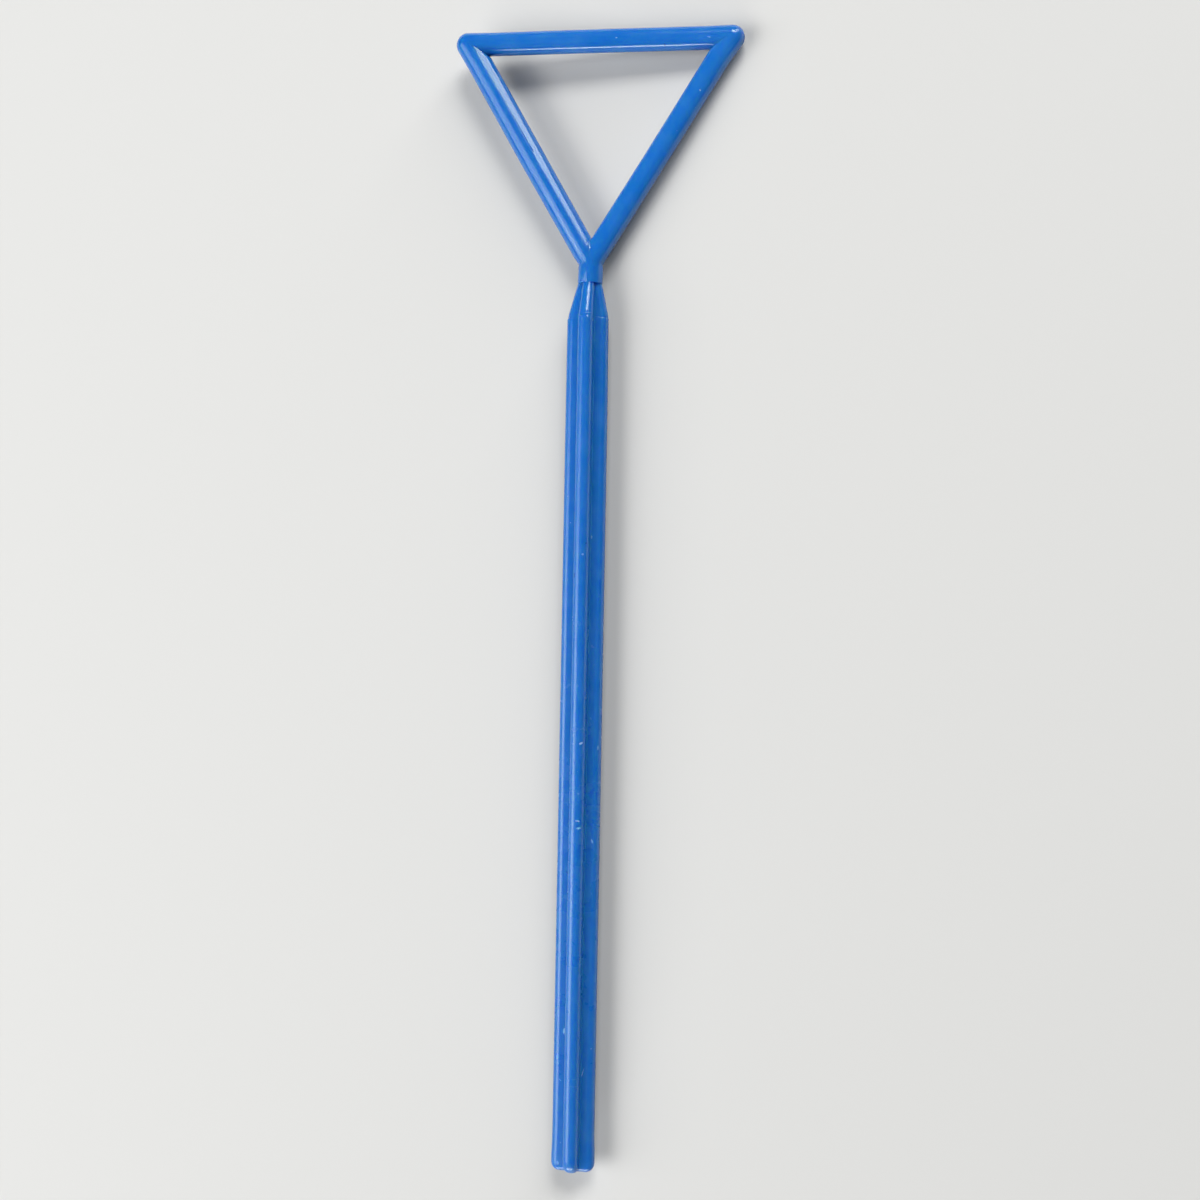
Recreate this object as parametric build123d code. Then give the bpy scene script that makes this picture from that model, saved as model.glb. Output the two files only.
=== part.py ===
from build123d import *
import os
from math import asin, atan2, degrees, hypot

# Cell spreader: one moulded piece, with a triangular head of round rod, a short
# round neck and a long handle whose section is a cross.
# It is drawn flat, with the handle's axis on Y and the head towards +Y, and is
# then laid down as it comes to rest, on the handle's lower rib and one corner.

# Overall sizes, mm
overall_length = 145.5      # handle end to the far side of the spreading bar
head_width = 37.4           # over the two outer corners
head_depth = 28.2           # bar axis to the point where the leg axes cross
neck_length = 2.85          # shoulder to that same point

# Round rods of the head and the neck
rod_diameter = 3.06
neck_extra = 0.12           # the neck is this much thicker than the rods
crease_radius = 0.2         # where two rods meet
shoulder_edge_radius = 0.1

# Handle: two equal ribs that cross at right angles
rib_span = 5.42             # across both noses of one rib
rib_thickness = 1.95
nose_land = 0.09            # flat left between the two roundings of a rib's edge
root_radius = 0.45          # in the four grooves, where the ribs meet
root_flank = 0.05           # flat that a groove keeps between root and nose
end_corner_extra = 0.17     # a rib's corners at the end, over the nose radius

# Ends of the ribs at the neck
taper_length = 4.3
taper_bend_radius = 2.0
taper_step = 0.05           # the edges reach the neck this far under its surface
taper_overlap = 0.8         # and run on into it

# Small set that the moulding took as it cooled
head_lean = 0.95            # degrees that the head is turned in its own plane
neck_shift = 0.18           # neck's foot beside the handle's axis

same_place = 1e-4           # two places this close are one

# Worked out from the sizes above
rod_radius = rod_diameter / 2
neck_radius = rod_radius + neck_extra / 2
rib_half = rib_span / 2
rib_wall = rib_thickness / 2
nose_radius = rib_wall - nose_land / 2
groove_flank = rib_half - nose_radius - rib_wall
groove_radius = min(root_radius, groove_flank - root_flank)
end_corner_radius = nose_radius + end_corner_extra
leg_spread = head_width / 2 - rod_radius
shoulder_y = overall_length - rod_radius - head_depth - neck_length
taper_y = shoulder_y - taper_length

# Rod centres, measured from the middle of the shoulder
neck_foot = (0, 0, 0)
crossing = (0, neck_length, 0)
left_corner = (-leg_spread, neck_length + head_depth, 0)
right_corner = (leg_spread, neck_length + head_depth, 0)

def rib_plan():
    """Outline of a rib, down to the neck and a little way into it."""
    neck_half = neck_radius - taper_step
    overlap_half = neck_half - taper_overlap * (rib_half - neck_half) / taper_length

    def side(sign):
        return [
            (sign * rib_half, 0),
            (sign * rib_half, taper_y),
            (sign * neck_half, shoulder_y),
            (sign * overlap_half, shoulder_y + taper_overlap),
        ]

    plan = make_face(Polyline(*side(-1), *reversed(side(1)), close=True))
    for bend_y, radius in ((0, end_corner_radius), (taper_y, taper_bend_radius)):
        plan = fillet([v for v in plan.vertices() if abs(v.Y - bend_y) < same_place], radius)
    return plan

def rib():
    """A flat rib with a round nose along both edges and the handle's end."""
    plate = extrude(rib_plan(), rib_wall, both=True)
    last_rim = shoulder_y + taper_overlap / 2
    rims = [
        edge for edge in plate.edges()
        if abs(abs(edge.center().Z) - rib_wall) < same_place and edge.center().Y < last_rim
    ]
    return fillet(rims, nose_radius)

def handle():
    """Two crossed ribs, with the grooves between them filleted."""
    cross = rib() + Rot(0, 90, 0) * rib()
    roots = [
        edge for edge in cross.edges()
        if abs(abs(edge.center().X) - rib_wall) < same_place
        and abs(abs(edge.center().Z) - rib_wall) < same_place
    ]
    return fillet(roots, groove_radius)

def rod(start, end, radius):
    """A round rod between two centres."""
    along = Vector(*end) - Vector(*start)
    foot = (Align.CENTER, Align.CENTER, Align.MIN)
    return Plane(origin=start, z_dir=along) * Cylinder(radius, along.length, align=foot)

def ball(centre, radius):
    """The round outside of a bend between two rods."""
    return Pos(*centre) * Sphere(radius)

def head():
    """Neck, two legs and the spreading bar, from the shoulder up."""
    frame = rod(crossing, left_corner, rod_radius)
    frame += rod(crossing, right_corner, rod_radius)
    frame += rod(left_corner, right_corner, rod_radius)
    frame += ball(left_corner, rod_radius)
    frame += ball(right_corner, rod_radius)
    frame += rod(neck_foot, crossing, neck_radius)
    frame += ball(crossing, neck_radius)
    creases = frame.edges().filter_by(GeomType.ELLIPSE) + frame.edges().filter_by(GeomType.BSPLINE)
    frame = fillet(creases, crease_radius)
    shoulder = [edge for edge in frame.edges().filter_by(GeomType.CIRCLE) if abs(edge.center().Y) < same_place]
    return fillet(shoulder, shoulder_edge_radius)

def rest_angle(set_head):
    """Degrees of roll at which the lower rib and the right corner both touch the ground."""
    corner_x = (set_head * Pos(*right_corner)).position.X
    nose_x = rib_wall - nose_radius
    nose_z = rib_half - nose_radius
    reach = corner_x - nose_x
    return degrees(atan2(nose_z, reach) + asin((nose_radius - rod_radius) / hypot(reach, nose_z)))

def spreader():
    """The whole moulding, laid down with its lowest points on Z = 0."""
    set_head = Pos(neck_shift, shoulder_y, 0) * Rot(0, 0, -head_lean)
    flat = handle() + set_head * head()
    laid = Rot(0, rest_angle(set_head), 0) * flat
    box = laid.bounding_box()
    return Pos(-box.center().X, -box.center().Y, -box.min.Z) * laid

os.makedirs("parts", exist_ok=True)
export_step(spreader(), "parts/spreader.step")
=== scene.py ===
import math
import bmesh
import bpy
from mathutils import Matrix, Vector


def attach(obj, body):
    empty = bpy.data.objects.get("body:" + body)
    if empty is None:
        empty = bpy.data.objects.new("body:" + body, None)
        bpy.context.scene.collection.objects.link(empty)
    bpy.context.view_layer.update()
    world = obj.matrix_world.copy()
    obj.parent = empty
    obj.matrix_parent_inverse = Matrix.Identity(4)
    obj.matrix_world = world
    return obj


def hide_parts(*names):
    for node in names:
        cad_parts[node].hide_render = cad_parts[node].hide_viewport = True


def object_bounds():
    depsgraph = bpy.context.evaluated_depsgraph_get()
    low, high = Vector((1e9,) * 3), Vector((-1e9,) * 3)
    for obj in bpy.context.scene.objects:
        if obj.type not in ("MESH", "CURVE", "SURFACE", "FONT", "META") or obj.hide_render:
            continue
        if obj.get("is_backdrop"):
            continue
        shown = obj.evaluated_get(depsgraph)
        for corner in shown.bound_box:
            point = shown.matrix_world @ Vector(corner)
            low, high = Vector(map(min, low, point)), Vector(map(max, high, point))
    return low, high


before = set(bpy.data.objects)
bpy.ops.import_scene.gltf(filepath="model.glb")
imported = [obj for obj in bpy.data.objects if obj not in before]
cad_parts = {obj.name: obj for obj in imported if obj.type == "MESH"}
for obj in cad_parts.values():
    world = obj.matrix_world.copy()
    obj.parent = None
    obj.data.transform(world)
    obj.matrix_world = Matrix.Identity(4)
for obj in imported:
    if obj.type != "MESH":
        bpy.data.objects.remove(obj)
cadLow, cadHigh = (list(corner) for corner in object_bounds())
print("frame loaded")

mm = 0.001       # pieces are shaped in millimetres and brought to metres at the end
tiny = 1e-3      # mm, points closer than this count as one
hair = 1e-4      # mm, the same for rings that stand close together
cutSlack = 1e-5  # mm, the same along a cut

# sizes in mm; the moulding lies flat, handle along +Y from its end at 0, thickness along Z
handleSize = {
    "length": 112.92,        # end to the shoulder under the neck
    "ribSpan": 5.42,
    "ribThickness": 1.95,
    "noseRadius": 0.93,
    "rootRadius": 0.15,
    "endCornerRadius": 1.1,
    "uprightCornerRadius": 2.0,
    "endSteps": 14,          # rings in the rounded end
    "thinnest": 0.02,        # half thickness of the very first ring
    "noseSteps": 12,
    "rootSteps": 6,
    "endFlare": 0.08,        # the flat rib's corners stand out at the end
    "flareLength": 3.5,
    "flareRings": (0.4, 0.75, 1),    # shares of that length
    "taperLength": 4.5,
    "taperSlack": 0.05,      # the edges are this much lower where the taper starts
    "slackLength": 10.0,     # and come down over this length
    "ringBefore": 0.5,       # the last straight ring
    "taperBend": 3.0,        # radius of the bend into the taper
    "taperStep": 0.07,
    "taperEdge": 0.05,       # the step takes this much each way
    "neckEnd": {"half": 1.54, "wall": 0.75, "nose": 0.7, "root": 0.05},
    "overlap": 0.8,          # run on into the neck
    "insideShare": 0.93,     # size of that part against the neck's end
    "sideShift": 0.15,       # the ribs' neck ends lean this far to +X
    "sharpAngle": 30,        # degrees, edges past this stay sharp
}
headSize = {
    "width": 37.4,
    "depth": 28.2,           # bar axis to the legs' crossing
    "neckLength": 2.85,
    "rodDiameter": 3.06,
    "leftLeg": 3.24,         # each rod's own diameter between its ends
    "rightLeg": 2.98,
    "bar": 2.90,
    "legBow": (0, 0.04, 0.17),       # drawn in near the neck, midway and near the corner
    "barBow": (0.04, 0.07, 0.04),    # bowed out near its ends and midway
    "neckClear": 1.6,        # those diameters start this far from the crossing
    "cornerClear": 3.0,      # and from the corners
    "neckDiameter": 3.18,
    "widenBy": -0.9,         # the neck has its own diameter from here down
    "creaseRows": (0.06, 0.13, 0.21, 0.31, 0.42, 0.55),   # from the middle plane
    "rowsFrom": -1.2,        # along Y, where those rows start
    "creaseSpan": (-0.9, 6), # along Y, where the crease is softened
    "creaseHigh": 0.5,       # softer above this height than in the fork's corner
    "creaseSmooth": (3, 8),
    "footRadius": 0.1,
    "footSteps": 4,
    "lean": 0.95,            # degrees, clockwise from above
    "footShift": 0.18,
    "sides": 64,
    "ballSteps": 24,
    "spare": 6,              # rod left over at each end before it is cut
}


def activate(piece):
    if bpy.context.object and bpy.context.object.mode != "OBJECT":
        bpy.ops.object.mode_set(mode="OBJECT")
    bpy.ops.object.select_all(action="DESELECT")
    piece.select_set(True)
    bpy.context.view_layer.objects.active = piece


def startEdit(piece, mode="VERT"):
    activate(piece)
    bpy.ops.object.mode_set(mode="EDIT")
    bpy.ops.mesh.select_mode(type=mode)
    bpy.ops.mesh.select_all(action="DESELECT")


def endEdit():
    bpy.ops.object.mode_set(mode="OBJECT")


def pick(kind, wanted):
    # selects the verts, edges or faces of the mesh being edited whose own test says so
    mesh = bmesh.from_edit_mesh(bpy.context.object.data)
    bpy.ops.mesh.select_all(action="DESELECT")
    for item in getattr(mesh, kind):
        if wanted(item):
            item.select_set(True)
    mesh.select_flush_mode()
    bmesh.update_edit_mesh(bpy.context.object.data)


def near(value, target, slack=tiny):
    return abs(value - target) < slack


def middle(edge):
    return (edge.verts[0].co + edge.verts[1].co) / 2


def isOpen(edge):
    return len(edge.link_faces) == 1


def offLine(point, start, way):
    # how far a point is from a line
    return (point - start - way * (point - start).dot(way)).length


def scaleAbout(center, value):
    bpy.ops.transform.resize(value=value, center_override=center)


def cutAt(point, normal, clearOuter=False, clearInner=False):
    bpy.ops.mesh.select_all(action="SELECT")
    bpy.ops.mesh.bisect(plane_co=point, plane_no=normal, clear_outer=clearOuter,
                        clear_inner=clearInner, threshold=cutSlack)


def applyModifier(piece, kind, **settings):
    activate(piece)
    modifier = piece.modifiers.new(kind.title(), kind)
    for key, value in settings.items():
        setattr(modifier, key, value)
    bpy.ops.object.modifier_apply(modifier=modifier.name)


def joinSolids(piece, other):
    applyModifier(piece, "BOOLEAN", operation="UNION", solver="MANIFOLD", object=other)
    bpy.data.objects.remove(other)


def addSection(y, shape, shiftX, flare):
    # one ring of the cross: a square with its four sides drawn out, then noses and grooves rounded
    half, wall = shape["half"], shape["wall"]
    upright = shape.get("upright", half)
    bpy.ops.mesh.select_all(action="DESELECT")
    bpy.ops.mesh.primitive_plane_add(size=2 * wall, location=(0, y, 0),
                                     rotation=(math.radians(90), 0, 0))
    bpy.ops.mesh.select_mode(type="EDGE")
    for way in ((1, 0, 0), (-1, 0, 0), (0, 0, 1), (0, 0, -1)):
        out = Vector(way)
        pick("edges", lambda e: (middle(e) - Vector((0, y, 0)) - out * wall).length < tiny)
        reach = (half + flare if way[0] else upright) - wall
        bpy.ops.mesh.extrude_region_move(TRANSFORM_OT_translate={"value": out * reach})
    bpy.ops.mesh.select_mode(type="FACE")
    pick("faces", lambda f: near(f.calc_center_median().y, y))
    bpy.ops.mesh.dissolve_faces()
    bpy.ops.mesh.select_mode(type="VERT")
    for isRoot, radius, steps in ((False, shape["nose"], handleSize["noseSteps"]),
                                  (True, shape["root"], handleSize["rootSteps"])):
        pick("verts", lambda v: near(v.co.y, y)
             and isRoot == (near(abs(v.co.x), wall) and near(abs(v.co.z), wall)))
        bpy.ops.mesh.bevel(offset=radius, segments=steps, affect="VERTICES", clamp_overlap=False)
    pick("verts", lambda v: near(v.co.y, y))
    bpy.ops.transform.translate(value=(shiftX, 0, 0))


def sectionPlan():
    # where the rings stand and what shape each one has
    size = handleSize
    full = {"half": size["ribSpan"] / 2, "wall": size["ribThickness"] / 2,
            "nose": size["noseRadius"], "root": size["rootRadius"]}
    nose = size["noseRadius"]
    longest = size["uprightCornerRadius"]

    def rounded(y, radius):
        return math.sqrt(radius ** 2 - max(0, radius - y) ** 2)

    plan = []
    for step in range(size["endSteps"] + 1):
        y = longest * (1 - math.cos(math.radians(90) * step / size["endSteps"]))
        thick = max(rounded(y, nose), size["thinnest"])
        plan.append((y, {
            "half": full["half"] - size["endCornerRadius"] + rounded(y, size["endCornerRadius"]),
            "upright": full["half"] - longest + rounded(y, longest),
            "wall": thick + full["wall"] - nose, "nose": thick, "root": size["rootRadius"],
        }, 0, size["endFlare"]))
    for share in size["flareRings"]:
        plan.append((longest + size["flareLength"] * share, full, 0,
                     size["endFlare"] * (1 - share) ** 2))
    taperStart = size["length"] - size["taperLength"]
    plan.append((taperStart - size["slackLength"], full, 0, 0))
    full = dict(full, half=full["half"] - size["taperSlack"])
    for before in (size["ringBefore"], size["taperEdge"]):
        plan.append((taperStart - before, full, -size["taperSlack"] / 2, 0))
    # a tiny step, an arc down, then a straight slope to the neck
    bend, long = size["taperBend"], size["taperLength"]
    fall = full["half"] - size["neckEnd"]["half"] - size["taperStep"]
    slope = (long - math.sqrt(long ** 2 - 2 * bend * fall)) / bend
    quarters = (0.25, 0.5, 0.75, 1)
    places = [size["taperEdge"]] + [slope * bend * part for part in quarters]
    places += [places[-1] + (long - places[-1]) * part for part in quarters]
    for t in places:
        drop = t * t / 2 / bend if t < slope * bend else slope * (t - slope * bend / 2)
        share = (size["taperStep"] + drop) / (fall + size["taperStep"])
        shape = {key: full[key] + (size["neckEnd"][key] - full[key]) * share for key in full}
        plan.append((taperStart + t, shape, size["sideShift"] * t / long, 0))
    inside = {key: value * size["insideShare"] for key, value in size["neckEnd"].items()}
    plan.append((size["length"] + size["overlap"], inside, size["sideShift"], 0))
    return plan


def makeHandle():
    bpy.ops.mesh.primitive_plane_add(size=1)
    handle = bpy.context.object
    handle.name = "handle"
    startEdit(handle)
    bpy.ops.mesh.select_all(action="SELECT")
    bpy.ops.mesh.delete(type="VERT")
    plan = sectionPlan()
    for y, shape, shiftX, flare in plan:
        addSection(y, shape, shiftX, flare)
    bpy.ops.mesh.select_mode(type="FACE")
    pick("faces", lambda f: not any(near(f.calc_center_median().y, plan[end][0], hair)
                                    for end in (0, -1)))
    bpy.ops.mesh.delete(type="ONLY_FACE")
    bpy.ops.mesh.select_mode(type="EDGE")
    for rings in zip(plan, plan[1:]):
        pick("edges", lambda e: any(near(middle(e).y, y, hair) and near(e.verts[0].co.y, y, hair)
                                    for y, *_ in rings))
        bpy.ops.mesh.bridge_edge_loops()
    bpy.ops.mesh.select_all(action="SELECT")
    bpy.ops.mesh.normals_make_consistent(inside=False)
    endEdit()
    return handle


def makeHalfHead():
    # the left half of the head and neck; the legs' crossing is at the origin
    size = headSize
    r = size["rodDiameter"] / 2
    spread = size["width"] / 2 - r
    legLength = math.hypot(spread, size["depth"])
    legAngle = math.atan2(spread, size["depth"])   # from +Y towards -X
    legWay = Vector((-math.sin(legAngle), math.cos(legAngle), 0))
    corner = legWay * legLength
    barWay = Vector((1, 0, 0))
    bpy.ops.mesh.primitive_cylinder_add(vertices=size["sides"], radius=r,
                                        depth=legLength + 2 * size["spare"],
                                        end_fill_type="NOTHING", location=(0, 0, 0))
    head = bpy.context.object
    head.name = "head"
    turn = Matrix.Rotation(legAngle, 4, "Z") @ Matrix.Rotation(math.radians(-90), 4, "X")
    head.matrix_world = Matrix.Translation(corner / 2) @ turn
    bpy.ops.object.transform_apply(location=True, rotation=True, scale=True)
    startEdit(head)
    # lower end: cut on the middle plane and on the mitre with the neck
    neckMitre = (legWay - Vector((0, -1, 0))).normalized()
    cutAt((0, 0, 0), (1, 0, 0), clearOuter=True)
    cutAt((0, 0, 0), neckMitre, clearInner=True)
    # outer corner: the inside is mitred with the bar, the outside stops square for the ball
    cornerMitre = (legWay + barWay).normalized()
    cutAt(corner, legWay)
    cutAt(corner, cornerMitre, clearOuter=True)
    bpy.ops.mesh.select_mode(type="FACE")
    pick("faces", lambda f: (f.calc_center_median() - corner).dot(legWay) > hair)
    bpy.ops.mesh.delete(type="FACE")
    bpy.ops.mesh.select_mode(type="EDGE")

    def fromCorner(edge, way):
        return (middle(edge) - corner).dot(way)

    # the ball: the open half ring is spun about the corner
    pick("edges", lambda e: isOpen(e) and near(fromCorner(e, legWay), 0))
    bpy.ops.mesh.spin(steps=size["ballSteps"], angle=math.acos(legWay.dot(barWay)),
                      center=corner, axis=(0, 0, 1))
    # bar: the ball's last half ring and the mitre run on to the middle plane
    pick("edges", lambda e: isOpen(e)
         and ((near(middle(e).x, corner.x) and middle(e).y > corner.y)
              or (near(fromCorner(e, cornerMitre), 0) and fromCorner(e, legWay) < -tiny)))
    bpy.ops.mesh.extrude_region_move(TRANSFORM_OT_translate={"value": (1, 0, 0)})
    scaleAbout((0, 0, 0), (0, 1, 1))
    # neck: from its mitre down to the shoulder, a little wider than the legs
    widen = size["neckDiameter"] / size["rodDiameter"]
    pick("edges", lambda e: isOpen(e) and near(middle(e).dot(neckMitre), 0)
         and middle(e).x < -cutSlack)
    for y, grow in ((size["widenBy"], widen), (size["footRadius"] - size["neckLength"], 1)):
        bpy.ops.mesh.extrude_region_move(TRANSFORM_OT_translate={"value": (0, -1, 0)})
        scaleAbout((0, y, 0), (grow, 0, grow))
    endEdit()
    return head, corner


def shapeRods(corner):
    # the moulding shrank unevenly: each rod's own thickness and bow between its ends
    size = headSize
    mirrored = Vector((-corner.x, corner.y, 0))
    crossing = Vector((0, 0, 0))
    rods = (("leftLeg", crossing, corner, size["neckClear"], "legBow", Vector((1, 0, 0))),
            ("rightLeg", crossing, mirrored, size["neckClear"], "legBow", Vector((-1, 0, 0))),
            ("bar", corner, mirrored, size["cornerClear"], "barBow", Vector((0, 1, 0))))
    rodReach = size["rodDiameter"] / 2 * 1.1   # takes in all of a rod
    for rodName, start, end, clear, bowName, bowWay in rods:
        way = (end - start).normalized()
        long = (end - start).length - clear - size["cornerClear"]
        for share, bow in zip((0, 0.5, 1), size[bowName]):
            place = start + way * (clear + long * share)
            pick("faces", lambda f: all(offLine(v.co, start, way) < rodReach for v in f.verts))
            bpy.ops.mesh.bisect(plane_co=place, plane_no=way, threshold=cutSlack)
            pick("verts", lambda v: near((v.co - place).dot(way), 0)
                 and offLine(v.co, start, way) < rodReach)
            scaleAbout(place, [size[rodName] / size["rodDiameter"]] * 3)
            bpy.ops.transform.translate(value=bowWay * bow)


def softenCrease():
    # the legs run together in a soft crease
    size = headSize
    for x in size["creaseRows"]:
        for side in (-1, 1):
            pick("faces", lambda f: all(v.co.y > size["rowsFrom"] for v in f.verts)
                 and min(abs(v.co.x) for v in f.verts) < x)
            bpy.ops.mesh.bisect(plane_co=(x * side, 0, 0), plane_no=(1, 0, 0), threshold=cutSlack)
    creaseLow, creaseFar = size["creaseSpan"]
    # the innermost rows at every height, then all the rows high up
    for low, row, repeats in ((0, 2, size["creaseSmooth"][0]),
                              (size["creaseHigh"], -1, size["creaseSmooth"][1])):
        pick("verts", lambda v: abs(v.co.x) < size["creaseRows"][row] - tiny
             and creaseLow < v.co.y < creaseFar and abs(v.co.z) >= low)
        bpy.ops.mesh.vertices_smooth(factor=0.5, repeat=repeats)


def closeFoot():
    # the neck's foot: a small round, then the flat shoulder
    size = headSize
    foot = size["footRadius"]
    stepTurn = math.radians(90) / size["footSteps"]
    for step in range(1, size["footSteps"] + 1):
        pick("edges", isOpen)
        turn = stepTurn * step
        bpy.ops.mesh.extrude_region_move(TRANSFORM_OT_translate={"value": (0, -1, 0)})
        old = size["neckDiameter"] / 2 - foot * (1 - math.cos(turn - stepTurn))
        new = size["neckDiameter"] / 2 - foot * (1 - math.cos(turn))
        scaleAbout((0, foot * (1 - math.sin(turn)) - size["neckLength"], 0),
                   (new / old, 0, new / old))
    pick("edges", isOpen)
    bpy.ops.mesh.fill()


def makeHead():
    head, corner = makeHalfHead()
    applyModifier(head, "MIRROR", use_axis=(True, False, False), use_clip=True,
                  merge_threshold=tiny)
    startEdit(head, "EDGE")
    bpy.ops.mesh.select_all(action="SELECT")
    bpy.ops.mesh.remove_doubles(threshold=tiny)
    shapeRods(corner)
    softenCrease()
    closeFoot()
    bpy.ops.mesh.select_all(action="SELECT")
    bpy.ops.mesh.normals_make_consistent(inside=False)
    endEdit()
    return head


def placeHead(head):
    lean = Matrix.Rotation(math.radians(-headSize["lean"]), 4, "Z")
    up = Matrix.Translation((0, headSize["neckLength"], 0))
    foot = Matrix.Translation((headSize["footShift"], handleSize["length"], 0))
    head.matrix_world = foot @ lean @ up
    activate(head)
    bpy.ops.object.transform_apply(location=True, rotation=True, scale=True)


def layDown(piece):
    # rolled on to the lower rib's nose and the right corner, then set in its own footprint's middle
    nose = handleSize["noseRadius"]
    rod = headSize["rodDiameter"] / 2
    cornerX = max(v.co.x for v in piece.data.vertices) - rod
    noseX = handleSize["ribThickness"] / 2 - nose
    noseZ = handleSize["ribSpan"] / 2 - nose
    reach = cornerX - noseX
    roll = math.atan2(noseZ, reach) + math.asin((nose - rod) / math.hypot(reach, noseZ))
    piece.data.transform(Matrix.Rotation(roll, 4, "Y"))
    piece.data.transform(Matrix.Scale(mm, 4))
    low, high = ([end(v.co[i] for v in piece.data.vertices) for i in range(3)]
                 for end in (min, max))
    # trimmed where it is the least bit longer than the CAD part
    trim = [min(1, (cadHigh[i] - cadLow[i]) / (high[i] - low[i])) for i in range(3)]
    shift = Vector([(cadLow[i] + cadHigh[i] - trim[i] * (low[i] + high[i])) / 2
                    for i in range(3)])
    shift.z = cadLow[2] - trim[2] * low[2]
    settle = Matrix.Translation(shift) @ Matrix.Diagonal((*trim, 1))
    piece.data.transform(settle)
    piece.data.update()
    return settle @ Matrix.Scale(mm, 4) @ Matrix.Rotation(roll, 4, "Y")


handle = makeHandle()
head = makeHead()
placeHead(head)
joinSolids(handle, head)
spreader = handle
spreader.name = "spreader_moulding"
lay = layDown(spreader)   # from the flat moulding to its place
activate(spreader)
bpy.ops.object.shade_smooth_by_angle(angle=math.radians(handleSize["sharpAngle"]))
applyModifier(spreader, "WEIGHTED_NORMAL", keep_sharp=True, weight=50)
print("moulding shaped", len(spreader.data.polygons), "faces")
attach(spreader, "root")
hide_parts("spreader")


def toLinear(hexColour):
    parts = [int(hexColour[i:i + 2], 16) / 255 for i in (1, 3, 5)]
    return [c / 12.92 if c <= 0.04045 else ((c + 0.055) / 1.055) ** 2.4 for c in parts] + [1]


def addNode(material, kind, settings=None, links=None):
    tree = material.node_tree
    node = tree.nodes.new(kind)
    for key, value in (settings or {}).items():
        if isinstance(key, int) or key in node.inputs:
            node.inputs[key].default_value = value
        else:
            setattr(node, key, value)
    for key, source in (links or {}).items():
        tree.links.new(source, node.inputs[key])
    return node


plasticLook = {
    "body": "#1A78CC",
    "milky": "#5FA5E6",           # where the blue is thinner or rubbed
    "nicksAndHighlights": "#93C8F2",          # nicks, and painted highlights on the edge where the taper starts
    "grime": "#0B4A9C",
    "ior": 1.55,
    "sheen": "#F6FFE6",           # tint of its reflections
    "depth": (0.1, 0.3, 1.2),     # mm that red, green and blue light travel inside
    "cloud": (2.6, 3),            # mm, size of the faint clouding, and its detail
    "grain": (0.35, 2),           # the mould's grain
    "drawLine": (0.09, 1),        # the handle's fine lengthwise lines
    "ragged": (0.12, 2),          # the raggedness of the marks' outlines
    "raggedBy": 0.16,             # mm
    "lineStretch": (1, 0.006, 1),
    "cloudMilk": {"From Min": 0.35, "From Max": 0.75, "To Max": 0.14},
    "lineMilk": {"From Min": 0.5, "From Max": 0.8, "To Max": 0.1},
    "cloudRoughness": {"From Min": 0.3, "From Max": 0.7, "To Min": 0.13, "To Max": 0.19},
    "nickRoughness": 0.35,
    "handleDull": (0.15, 0.05),   # the handle is this much less polished, at its end and at the taper
    "polishPast": 0.47,           # mm past the taper's start, where the full polish starts
    "speck": 2.2,                 # mm between tiny light specks
    "speckEdge": {"From Min": 0.015, "From Max": 0.04, "To Min": 1, "To Max": 0},
    "speckChance": {"From Min": 0.55, "From Max": 1, "To Max": 0.6},
    "markEdge": (0.65, 1.15),     # a mark fades between these shares of its size
    "markDeep": 0.6,              # mm a mark reaches into the surface
    "bumpDistance": 0.008,        # mm
    "bumps": {"grain": 0.12, "lines": 0.12, "cloud": 0.2, "nick": 4},
}
# nicks, marks and painted highlights: surface, mm across and mm along from the handle's end,
# half width, half length, turn in degrees, strength
nickAndHighlightMarks = [
    ("crest", 0.3, 44.75, 0.27, 0.09, -10, 1.0),
    ("crest", 0.45, 43.85, 0.29, 0.11, 10, 0.9),
    ("crest", 0.55, 54.5, 0.13, 0.27, -50, 1.0),
    ("web", 1.9, 42.05, 0.10, 0.30, 15, 0.8),
    ("web", 2.4, 53.85, 0.07, 0.30, 0, 0.5),
    ("web", -1.25, 17.85, 0.17, 0.42, -5, 0.9),
    ("web", -2.1, 14.6, 0.12, 0.38, 0, 0.7),
    ("web", 1.25, 12.8, 0.06, 0.62, -18, 0.6),
    ("web", -1.65, 11.65, 0.06, 0.20, 40, 0.8),
    ("crest", 0.4, 12.3, 0.50, 0.05, 3, 0.15),
    ("crest", 0.4, 11.4, 0.50, 0.05, -2, 0.15),
    ("web", 2.25, 15.8, 0.10, 0.10, 0, 0.4),
    ("crest", 0.35, 78.3, 0.13, 0.12, 0, 0.5),
    ("crest", 0.35, 48.15, 0.12, 0.12, 0, 0.35),
    ("web", 1.15, 80.55, 0.07, 0.22, 0, 0.4),
    ("web", -1.45, 3.75, 0.09, 0.11, 0, 0.35),
    ("web", -1.8, 1.15, 0.16, 0.28, 20, 0.5),
    ("rodTop", 14.0, 136.75, 0.10, 0.10, 0, 0.7),
    ("rodTop", 15.0, 143.4, 0.26, 0.10, -15, 0.4),
    ("rodTop", 3.25, 143.85, 0.12, 0.08, 0, 0.6),
    # the last three are painted highlights: the light line along the edge where the taper starts, each
    # pressed in a little by the bump
    ("crest", 0.4, 108.85, 0.62, 0.06, 2, 0.25),      # painted highlight on the edge where the taper starts
    ("web", 1.85, 108.5, 0.75, 0.06, -6, 0.18),
    ("web", -2.15, 108.45, 0.35, 0.06, -9, 0.2),
]
grimeMarks = [
    ("crest", 0.7, 79.7, 0.08, 0.10, 0, 0.8),
    ("crest", -0.7, 75.65, 0.11, 0.36, 0, 0.6),
    ("web", -1.25, 37.95, 0.09, 0.12, 0, 0.5),
    ("crest", -0.15, 37.7, 0.09, 0.12, 0, 0.4),
    ("rodSide", 9.35, 142.8, 0.12, 0.12, 0, 0.8),
]
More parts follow.
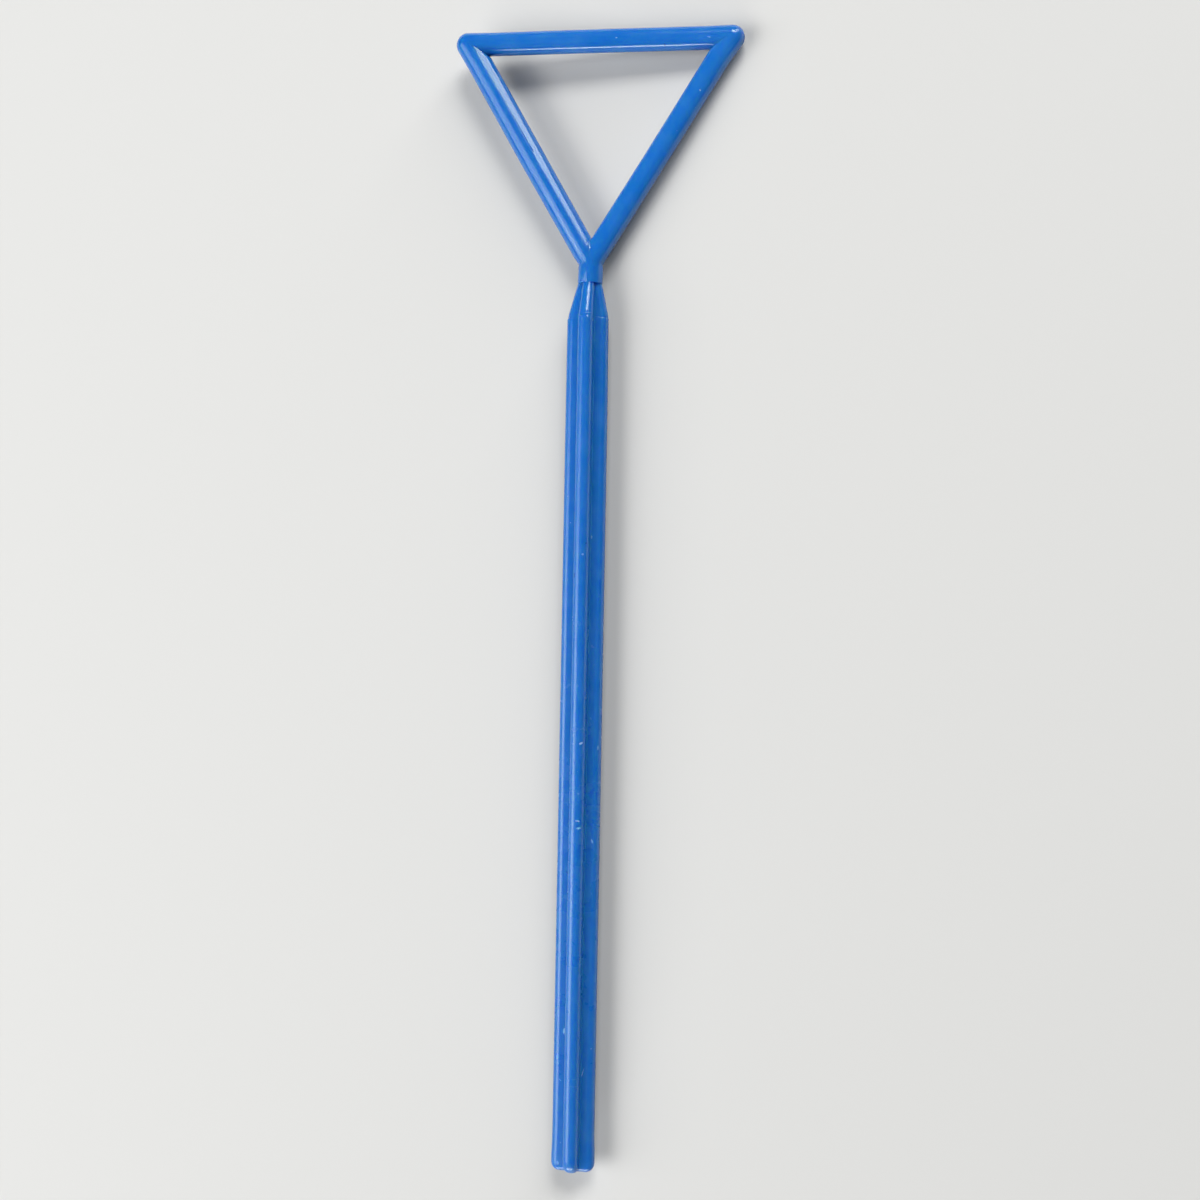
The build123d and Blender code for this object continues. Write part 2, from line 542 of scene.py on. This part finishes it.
rodHeights = {"rodTop": 0.95, "rodSide": 0.7}   # shares of the rod's radius


def skinHeight(surface, across):
    # how far a surface is over the middle plane
    nose = handleSize["noseRadius"]
    if surface == "crest":
        return handleSize["ribSpan"] / 2 - nose + math.sqrt(nose ** 2 - across ** 2)
    if surface == "web":
        past = max(0, abs(across) + nose - handleSize["ribSpan"] / 2)
        return handleSize["ribThickness"] / 2 - nose + math.sqrt(nose ** 2 - past ** 2)
    return headSize["rodDiameter"] / 2 * rodHeights[surface]


def addMarks(material, coords, marks):
    # each mark is a soft ellipse around its own place; the strongest one wins
    fadeFrom, fadeTo = plasticLook["markEdge"]
    total = None
    for surface, across, along, halfWidth, halfLength, turn, strength in marks:
        place = lay @ Vector((across, along, skinHeight(surface, across)))
        own = addNode(material, "ShaderNodeMapping", {
            "vector_type": "TEXTURE", "Location": place, "Rotation": (0, 0, math.radians(turn)),
            "Scale": (halfWidth * mm, halfLength * mm, plasticLook["markDeep"] * mm),
        }, {"Vector": coords})
        reach = addNode(material, "ShaderNodeVectorMath", {"operation": "LENGTH"}, {0: own.outputs[0]})
        spot = addNode(material, "ShaderNodeMapRange",
                       {"From Min": fadeFrom, "From Max": fadeTo, "To Min": strength, "To Max": 0},
                       {"Value": reach.outputs["Value"]}).outputs[0]
        if total:
            spot = addNode(material, "ShaderNodeMath", {"operation": "MAXIMUM"},
                           {0: total, 1: spot}).outputs[0]
        total = spot
    return total


def makePlastic():
    # slightly milky blue polystyrene: light sinks in, the skin keeps the polish of the mould
    look = plasticLook
    plastic = bpy.data.materials.new("blue_moulded_polystyrene")
    plastic.use_nodes = True
    shader = plastic.node_tree.nodes["Principled BSDF"]
    shader.inputs["IOR"].default_value = look["ior"]
    shader.inputs["Specular Tint"].default_value = toLinear(look["sheen"])
    shader.inputs["Subsurface Weight"].default_value = 1
    shader.inputs["Subsurface Radius"].default_value = look["depth"]
    shader.inputs["Subsurface Scale"].default_value = mm
    coords = addNode(plastic, "ShaderNodeTexCoord").outputs["Object"]
    along = addNode(plastic, "ShaderNodeSeparateXYZ", {}, {0: coords}).outputs["Y"]
    stretched = addNode(plastic, "ShaderNodeVectorMath",
                        {"operation": "MULTIPLY", 1: look["lineStretch"]}, {0: coords}).outputs[0]
    noises = {}
    for name, vector in (("cloud", coords), ("grain", coords), ("ragged", coords),
                         ("drawLine", stretched)):
        size, detail = look[name]
        noises[name] = addNode(plastic, "ShaderNodeTexNoise",
                               {"Scale": 1 / (size * mm), "Detail": detail},
                               {"Vector": vector}).outputs
    cloud, grain = noises["cloud"]["Fac"], noises["grain"]["Fac"]
    # the fine lines and the duller skin stop where the polished taper starts
    polishFrom = handleSize["length"] - handleSize["taperLength"] + look["polishPast"]
    gripEnd, polished = ((lay @ Vector((0, y, 0))).y for y in (0, polishFrom))
    onHandle = addNode(plastic, "ShaderNodeMapRange",
                       {"From Min": polished - mm, "From Max": polished, "To Min": 1, "To Max": 0},
                       {"Value": along}).outputs[0]
    endDull, taperDull = look["handleDull"]
    dullness = addNode(plastic, "ShaderNodeMapRange",
                       {"From Min": gripEnd, "From Max": polished, "To Min": endDull, "To Max": taperDull},
                       {"Value": along}).outputs[0]
    lines, dull = (addNode(plastic, "ShaderNodeMath", {"operation": "MULTIPLY"},
                           {0: source, 1: onHandle}).outputs[0]
                   for source in (noises["drawLine"]["Fac"], dullness))
    # a few tiny light specks in the skin
    cells = addNode(plastic, "ShaderNodeTexVoronoi", {"Scale": 1 / (look["speck"] * mm)},
                    {"Vector": coords}).outputs
    shares = addNode(plastic, "ShaderNodeSeparateColor", {}, {0: cells["Color"]}).outputs
    speck = addNode(plastic, "ShaderNodeMapRange", look["speckEdge"], {"Value": cells["Distance"]})
    lucky = addNode(plastic, "ShaderNodeMapRange", look["speckChance"], {"Value": shares[0]})
    specks = addNode(plastic, "ShaderNodeMath", {"operation": "MULTIPLY"},
                     {0: speck.outputs[0], 1: lucky.outputs[0]}).outputs[0]
    # the marks' outlines are ragged
    offset = addNode(plastic, "ShaderNodeVectorMath", {"operation": "SUBTRACT", 1: (0.5, 0.5, 0.5)},
                     {0: noises["ragged"]["Color"]}).outputs[0]
    offset = addNode(plastic, "ShaderNodeVectorMath",
                     {"operation": "SCALE", "Scale": look["raggedBy"] * mm}, {0: offset}).outputs[0]
    shaken = addNode(plastic, "ShaderNodeVectorMath", {"operation": "ADD"},
                     {0: coords, 1: offset}).outputs[0]
    grime = addMarks(plastic, shaken, grimeMarks)
    # nicks and specks, together with the painted highlight lines at the taper's start, lighten the colour
    nicksAndHighlights = addNode(plastic, "ShaderNodeMath", {"operation": "MAXIMUM"},
                     {0: addMarks(plastic, shaken, nickAndHighlightMarks), 1: specks}).outputs[0]
    # the colour, from the body up
    milk = addNode(plastic, "ShaderNodeMapRange", look["cloudMilk"], {"Value": cloud}).outputs[0]
    streak = addNode(plastic, "ShaderNodeMapRange", look["lineMilk"], {"Value": lines}).outputs[0]
    body = addNode(plastic, "ShaderNodeRGB")
    body.outputs[0].default_value = toLinear(look["body"])
    colour = body.outputs[0]
    for amount, name in ((milk, "milky"), (streak, "milky"), (grime, "grime"), (nicksAndHighlights, "nicksAndHighlights")):
        colour = addNode(plastic, "ShaderNodeMix", {"data_type": "RGBA", 7: toLinear(look[name])},
                         {0: amount, 6: colour}).outputs[2]
    plastic.node_tree.links.new(colour, shader.inputs["Base Color"])
    roughness = addNode(plastic, "ShaderNodeMapRange", look["cloudRoughness"],
                        {"Value": cloud}).outputs[0]
    for source, amount in ((nicksAndHighlights, look["nickRoughness"]), (dull, 1)):
        roughness = addNode(plastic, "ShaderNodeMath", {"operation": "MULTIPLY_ADD", 1: amount},
                            {0: source, 2: roughness}).outputs[0]
    plastic.node_tree.links.new(roughness, shader.inputs["Roughness"])
    # the relief: the mould's grain, the lines, soft waves, and nicks that go in
    bumps = look["bumps"]
    height = addNode(plastic, "ShaderNodeMath", {"operation": "MULTIPLY", 1: bumps["grain"]},
                     {0: grain}).outputs[0]
    for source, amount in ((lines, bumps["lines"]), (cloud, bumps["cloud"]), (nicksAndHighlights, -bumps["nick"])):
        height = addNode(plastic, "ShaderNodeMath", {"operation": "MULTIPLY_ADD", 1: amount},
                         {0: source, 2: height}).outputs[0]
    bump = addNode(plastic, "ShaderNodeBump", {"Distance": look["bumpDistance"] * mm},
                   {"Height": height})
    plastic.node_tree.links.new(bump.outputs[0], shader.inputs["Normal"])
    return plastic


spreader.data.materials.clear()
spreader.data.materials.append(makePlastic())
print("plastic made")

# floor, lamps and camera
floorLook = {
    "colour": "#DCDCDA",
    "underglow": 0.1,   # share of its colour that lights the piece from below
    "roughness": 0.9,
    "size": 8.0,        # m
    "gap": 0.02,        # mm under the piece
}
bpy.ops.mesh.primitive_plane_add(size=floorLook["size"],
                                 location=(0, 0, cadLow[2] - floorLook["gap"] * mm))
floor = bpy.context.object
floor.name = "floor"
floorPaint = bpy.data.materials.new("matt_floor_paint")
floorPaint.use_nodes = True
paint = floorPaint.node_tree.nodes["Principled BSDF"]
paint.inputs["Roughness"].default_value = floorLook["roughness"]
# seen directly or mirrored the floor is pale, but it throws little light up under the piece
ray = addNode(floorPaint, "ShaderNodeLightPath").outputs
seen = ray["Is Camera Ray"]
for mirrored in ("Is Glossy Ray", "Is Transmission Ray"):
    seen = addNode(floorPaint, "ShaderNodeMath", {"operation": "MAXIMUM"},
                   {0: seen, 1: ray[mirrored]}).outputs[0]
pale = toLinear(floorLook["colour"])
dim = [value * floorLook["underglow"] for value in pale[:3]] + [1]
shown = addNode(floorPaint, "ShaderNodeMix", {"data_type": "RGBA", 6: dim, 7: pale}, {0: seen})
floorPaint.node_tree.links.new(shown.outputs[2], paint.inputs["Base Color"])
floor.data.materials.append(floorPaint)
floor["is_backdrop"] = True

lamps = {   # azimuth and height in degrees, distance and sizes in metres, power in watts
    "farSoftbox": {"azimuth": 54, "height": 21, "far": 1.2, "wide": 0.32, "tall": 0.86, "power": 6.1},
    "farWindow": {"azimuth": 74, "height": 42, "far": 1.2, "wide": 0.46, "tall": 0.36, "power": 7.2},
    "leftSoftbox": {"azimuth": 191, "height": 44, "far": 1.2, "wide": 0.76, "tall": 1.15, "power": 7.2},
    "overheadScrim": {"azimuth": 212, "height": 45, "far": 0.6, "wide": 0.50, "tall": 0.20, "power": 1.2},
    "nearStrip": {"azimuth": 263, "height": 8, "far": 2.4, "wide": 1.8, "tall": 0.5, "power": 34},
}


def addLamp(name, place):
    turn, height = math.radians(place["azimuth"]), math.radians(place["height"])
    way = Vector((math.cos(height) * math.cos(turn), math.cos(height) * math.sin(turn),
                  math.sin(height)))
    data = bpy.data.lights.new(name, "AREA")
    data.shape = "RECTANGLE"
    data.size = place["wide"]
    data.size_y = place["tall"]
    data.energy = place["power"]
    lamp = bpy.data.objects.new(name, data)
    bpy.context.scene.collection.objects.link(lamp)
    lamp.visible_camera = False
    lamp.location = way * place["far"]
    lamp.rotation_euler = way.to_track_quat("Z", "Y").to_euler()


for lampName, place in lamps.items():
    addLamp(lampName, place)

room = {"colour": "#FFFFFF", "strength": 0.04}
world = bpy.data.worlds.new("studio")
bpy.context.scene.world = world
world.use_nodes = True
background = world.node_tree.nodes["Background"]
background.inputs["Color"].default_value = toLinear(room["colour"])
background.inputs["Strength"].default_value = room["strength"]

cameraView = {
    "lens": 47.04,                     # mm
    "sensor": 36,                      # mm
    "nearest": 5,                      # mm, clipped before this
    "place": (49.60, -1.92, 196.29),   # mm from the middle of the footprint
    "turn": (0.724, 13.935, 1.076),    # degrees about X, Y, Z
}
camData = bpy.data.cameras.new("camera")
camData.lens = cameraView["lens"]
camData.sensor_width = cameraView["sensor"]
camData.clip_start = cameraView["nearest"] * mm
camera = bpy.data.objects.new("camera", camData)
bpy.context.scene.collection.objects.link(camera)
camera.location = [value * mm for value in cameraView["place"]]
camera.rotation_euler = [math.radians(angle) for angle in cameraView["turn"]]
bpy.context.scene.camera = camera
bpy.context.scene.view_settings.view_transform = "Standard"
print("stage set")
